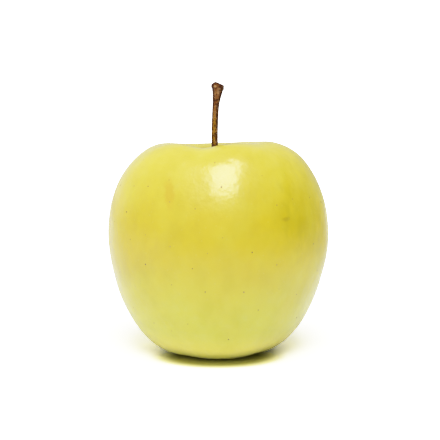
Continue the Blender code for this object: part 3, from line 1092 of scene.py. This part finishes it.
# %% Light the room and lay the table
Lamp = namedtuple("Lamp", "name width near_edge far_edge radiance mirrored")
LAMPS = (
    Lamp("lamp_middle", 0.60, Vector((0.032, -1.10, 0.95)), Vector((0.032, -0.15, 1.15)), 5.6, True),
    Lamp("lamp_border", 0.90, Vector((0.038, -1.16, 0.92)), Vector((0.038, -0.09, 1.18)), 1.7, True),
    Lamp("lamp_behind", 0.80, Vector((0.0, 0.90, 0.75)), Vector((0.0, 1.10, 0.20)), 2.2, False),
)

for lamp in LAMPS:
    # A softbox between two edges that run left to right, facing the fruit, out of the camera's sight.
    run = lamp.far_edge - lamp.near_edge
    softbox = add_object(lamp.name, bpy.data.lights.new(lamp.name, "AREA"))
    softbox.data.shape = "RECTANGLE"
    softbox.data.size = lamp.width
    softbox.data.size_y = run.length
    softbox.data.energy = lamp.radiance * math.pi * lamp.width * run.length
    softbox.location = (lamp.near_edge + lamp.far_edge) / 2.0
    back = Vector((0.0, -run.z, run.y))
    softbox.rotation_euler = back.to_track_quat("Z", "Y").to_euler()
    softbox.visible_camera = False
    softbox.visible_glossy = lamp.mirrored
    print(f"{lamp.name}: {lamp.width:.2f} by {run.length:.2f} m, {softbox.data.energy:.1f} W")

ROOM_FRONT = 0.50
ROOM_BEHIND = 0.45
ROOM_LEFT = 0.50
ROOM_ABOVE = 0.36
ROOM_HORIZON = 0.46
ROOM_SEEN = 3.0
HORIZON_X = -0.6
HORIZON_Y = 0.8

world = bpy.data.worlds.new("white_room")
bpy.context.scene.world = world
world.use_nodes = True
tree = world.node_tree
x, y, z = parts_of(tree, add_node(tree, "ShaderNodeTexCoord").outputs["Generated"])
room = y.below(0.0) * -ROOM_FRONT + y.above(0.0) * ROOM_BEHIND
room += x.below(0.0) * -ROOM_LEFT + z.above(0.0) ** 3.0 * ROOM_ABOVE
room += (y * HORIZON_Y + x * HORIZON_X).above(0.0) ** 3.0 * (1.0 - z.size()) ** 6.0 * ROOM_HORIZON
seen = Number(tree, add_node(tree, "ShaderNodeLightPath").outputs["Is Camera Ray"])
strength = room * (1.0 - seen) + seen * ROOM_SEEN
wire(tree, strength, tree.nodes["Background"].inputs["Strength"])
tree.nodes["Background"].inputs["Color"].default_value = (1.0, 1.0, 1.0, 1.0)

TABLE_SIZE = 12.0
TABLE_BELOW = 0.03
TABLE_WHITE = 0.90
TABLE_FAR = 0.35
TABLE_SEEN = 1.7
DIM_FROM = (0.05, 0.30)
DIM_SIDE = (-0.12, 0.10)
GLOW_FROM = (0.10, 0.25)
# Painted shade: a soft dark yellow oval on the table round the fruit's foot, seen only by the camera.
SHADE_MIDDLE = -0.013
SHADE_REACH = (0.0185, 0.013)
SHADE_EDGE = (1.35, 0.72)
SHADE_DEPTH = 0.79
SHADE_TINGE = 0.75
SHADE_GREEN_TINGE = 0.04

table_mesh = bpy.data.meshes.new("table")
half = TABLE_SIZE / 2.0
corners = ((-half, -half), (half, -half), (half, half), (-half, half))
table_mesh.from_pydata([(x, y, -TABLE_BELOW * MM) for x, y in corners], [], [(0, 1, 2, 3)])
table = add_object("table", table_mesh)
table_finish = bpy.data.materials.new("white table")
table_mesh.materials.append(table_finish)
table_finish.use_nodes = True
tree = table_finish.node_tree
tree.nodes.remove(tree.nodes["Principled BSDF"])
place = add_node(tree, "ShaderNodeTexCoord").outputs["Object"]
x, y, _ = parts_of(tree, place)
far_off = (x * x + y * y) ** 0.5
seen = Number(tree, add_node(tree, "ShaderNodeLightPath").outputs["Is Camera Ray"])
paper = noise(tree, place, 0.04, detail=3.0, seed=1.0) * 0.01
shade_x, shade_y = SHADE_REACH
shade = ((x / shade_x) ** 2.0 + ((y - SHADE_MIDDLE) / shade_y) ** 2.0) ** 0.5
shade = shade.ease(*SHADE_EDGE) * seen
dim_side = far_off.ease(*DIM_FROM) * (x - y).ease(*DIM_SIDE)
lit = TABLE_WHITE - dim_side * (TABLE_WHITE - TABLE_FAR)
# The table's white, darkened and tinged yellow for the camera by the painted shade.
white = (lit * (1.0 - seen) + seen * TABLE_SEEN + paper) * (1.0 - shade * SHADE_DEPTH)
matt = add_node(
    tree, "ShaderNodeBsdfDiffuse",
    Color=vector_of(
        tree, white, white * (1.0 - shade * SHADE_GREEN_TINGE), white * (1.0 - shade * SHADE_TINGE)
    ),
)
glow = add_node(tree, "ShaderNodeEmission", Strength=far_off.ease(*GLOW_FROM) * seen * TABLE_SEEN)
both = add_node(tree, "ShaderNodeAddShader")
wire(tree, matt.outputs[0], both.inputs[0])
wire(tree, glow.outputs[0], both.inputs[1])
wire(tree, both.outputs[0], tree.nodes["Material Output"].inputs["Surface"])

# %% Answer to light as film does, with soft whites
FILM_WHITE = 1.6
FILM_CURVE = ((0.0, 0.0), (0.5, 0.5), (0.8, 0.76), (1.05, 0.89), (1.3, 0.96), (FILM_WHITE, 1.0))

view = bpy.context.scene.view_settings
view.view_transform = "Standard"
view.use_curve_mapping = True
film = view.curve_mapping
film.white_level = (FILM_WHITE, FILM_WHITE, FILM_WHITE)
points = film.curves[3].points
while len(points) < len(FILM_CURVE):
    points.new(0.5, 0.5)
for point, (light, shown) in zip(points, FILM_CURVE):
    point.location = (light / FILM_WHITE, shown)
    point.handle_type = "AUTO_CLAMPED"
film.update()

# %% [markdown]
# ## Handing the pieces to the frame
#
# Each new piece rides on the part's one body, and hides the solid that it replaces, where it
# replaces one.

# %% Ride and replace
for piece, slot, node in (
    (fruit_skin, "apple_skin", "fruit"),
    (skin_pores, "apple_skin", None),
    (stem_bark, "stem_bark", "stem"),
    (calyx_sepals, "dried_calyx", "calyx"),
    (calyx_cup, "dried_calyx", None),
    (calyx_threads, "dried_calyx", None),
):
    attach(piece, "root")
    if node:
        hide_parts(node)
